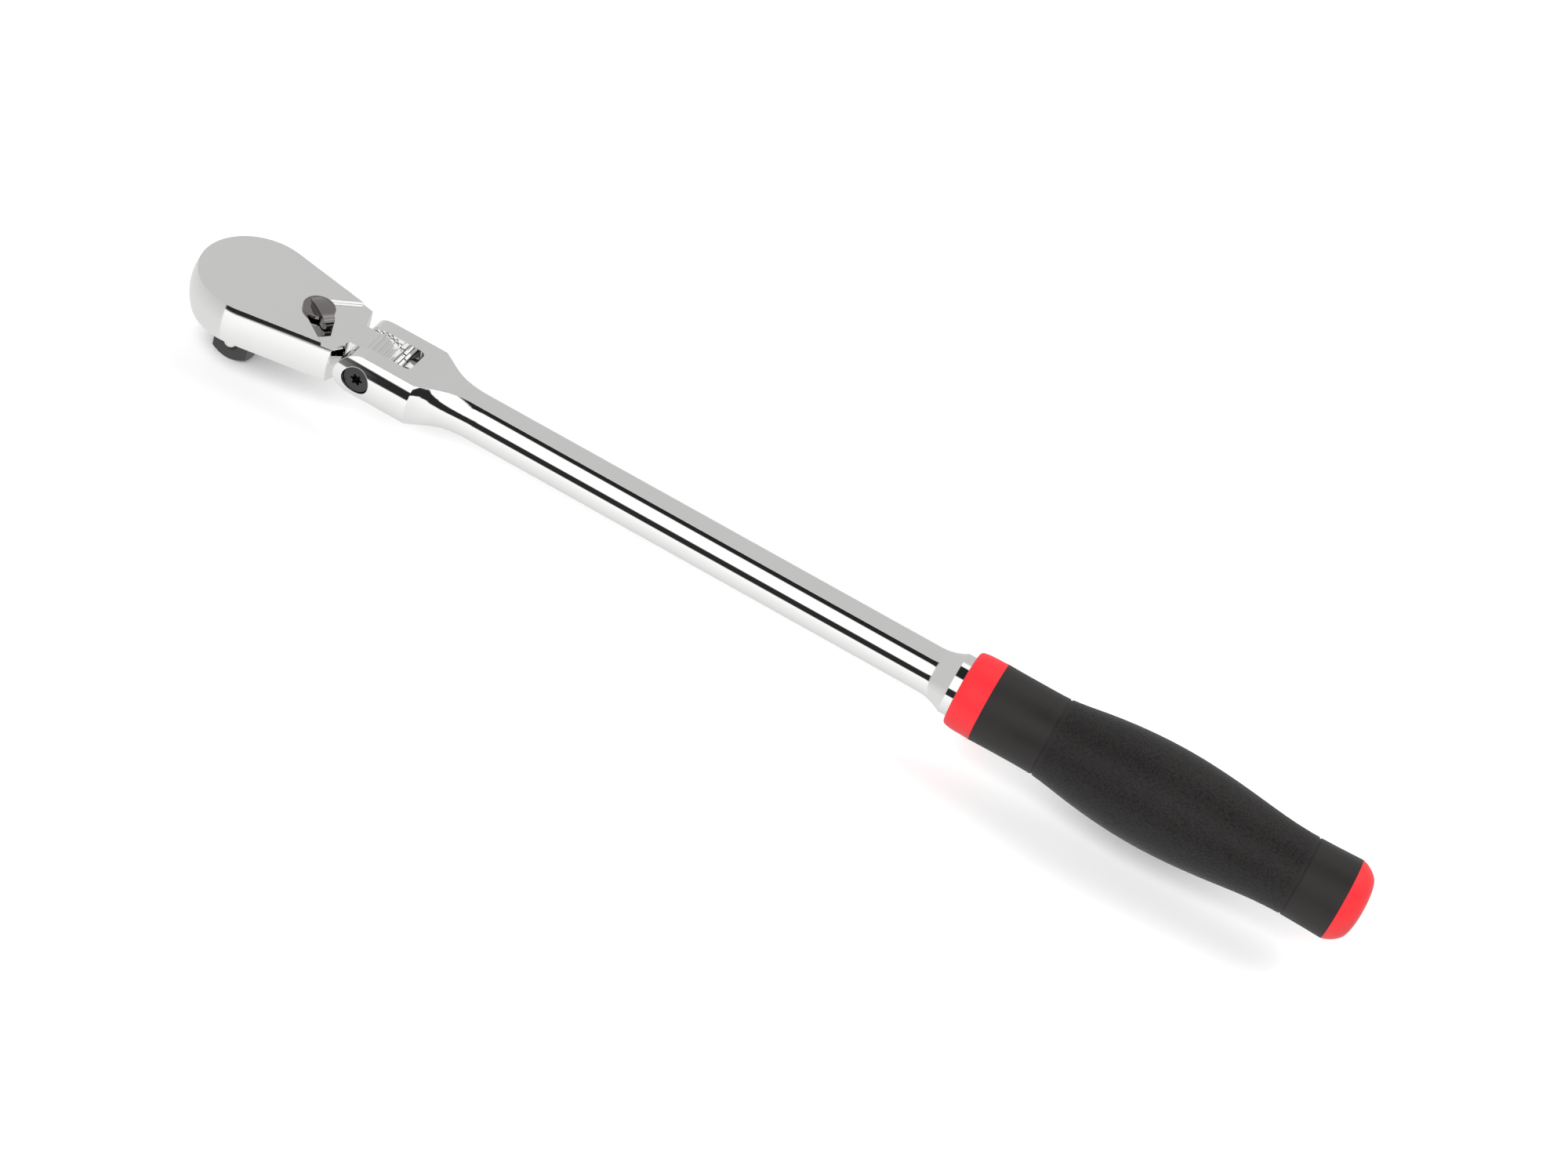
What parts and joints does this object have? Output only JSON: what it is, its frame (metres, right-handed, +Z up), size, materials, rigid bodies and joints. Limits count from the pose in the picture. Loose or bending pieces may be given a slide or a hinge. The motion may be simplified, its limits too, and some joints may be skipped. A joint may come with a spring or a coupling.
{
  "type": "flex-head ratchet wrench",
  "caption": "Long-handled ratchet wrench with a square drive, a reversing lever, a head that flexes on a fork joint, and a two-colour grip.",
  "frame": {"origin": "centre of the drive square's end face", "axes": "+Z up along the drive axis towards the reverse lever, +X along the handle away from the head, retaining ball towards -Y"},
  "size_m": [0.3231, 0.0316, 0.0323],
  "materials": {
    "polished_chrome": "polished chrome plate",
    "satin_steel": "satin ground steel",
    "black_oxide_steel": "dark satin black oxide",
    "black_chrome": "glossy black chrome",
    "ball_steel": "bright polished steel",
    "spring_steel": "drawn wire",
    "seal_rubber": "moulded",
    "black_rubber": "satin, finely pebbled in the middle",
    "red_plastic": "satin moulded"
  },
  "bodies": {
    "handle": {"handle_shaft": "polished_chrome", "pivot_screw": "black_oxide_steel", "flex_spring": "spring_steel", "grip_core": "red_plastic", "grip_sleeve": "black_rubber", "end_cap": "red_plastic"},
    "detent": {"flex_plunger": "satin_steel"},
    "head": {"head_body": "polished_chrome", "cover_plate": "satin_steel", "cover_screws": "black_oxide_steel", "pawl_pin": "ball_steel"},
    "anvil": {"drive_gear": "black_oxide_steel", "anvil_seal": "seal_rubber", "tang_ball_spring": "spring_steel"},
    "ball": {"tang_ball": "ball_steel"},
    "lever": {"reverse_lever": "black_chrome", "lever_seal": "seal_rubber", "lever_clip": "spring_steel", "pawl_spring": "spring_steel"},
    "plunger": {"pawl_plunger": "ball_steel"},
    "pawl": {"pawl": "satin_steel"}
  },
  "joints": [
    {"name": "flex_pivot", "type": "hinge", "parent": "handle", "child": "head", "pos_m": [0.0366, 0, 0.0192], "axis": [0, 1, 0], "range_deg": [-90, 90]},
    {"name": "drive_spin", "type": "hinge", "parent": "head", "child": "anvil", "pos_m": [0, 0, 0.0192], "axis": [0, 0, 1], "continuous": true},
    {"name": "lever_flip", "type": "hinge", "parent": "head", "child": "lever", "pos_m": [0.0188, 0, 0.0248], "axis": [0, 0, 1], "range_deg": [0, 76]},
    {"name": "pawl_rock", "type": "hinge", "parent": "head", "child": "pawl", "pos_m": [0.0119, 0, 0.0188], "axis": [0, 0, 1], "range_deg": [-12.01, 0]},
    {"name": "ball_press", "type": "slide", "parent": "anvil", "child": "ball", "axis": [0, 1, 0], "range_m": [0, 0.0011], "stiffness_N_per_m": 1500, "springref_m": -0.002, "deforming": ["tang_ball_spring"]},
    {"name": "plunger_press", "type": "slide", "parent": "lever", "child": "plunger", "axis": [0.788, -0.6157, 0], "range_m": [0, 0.0004], "stiffness_N_per_m": 400, "springref_m": -0.001, "deforming": ["pawl_spring"]},
    {"name": "flex_detent", "type": "slide", "parent": "handle", "child": "detent", "axis": [1, 0, 0], "range_m": [0, 0.0009], "stiffness_N_per_m": 4000, "springref_m": -0.002, "deforming": ["flex_spring"]}
  ],
  "couplings": [
    {"joint": "pawl_rock", "follows": "lever_flip", "ratio": -0.1579}
  ]
}
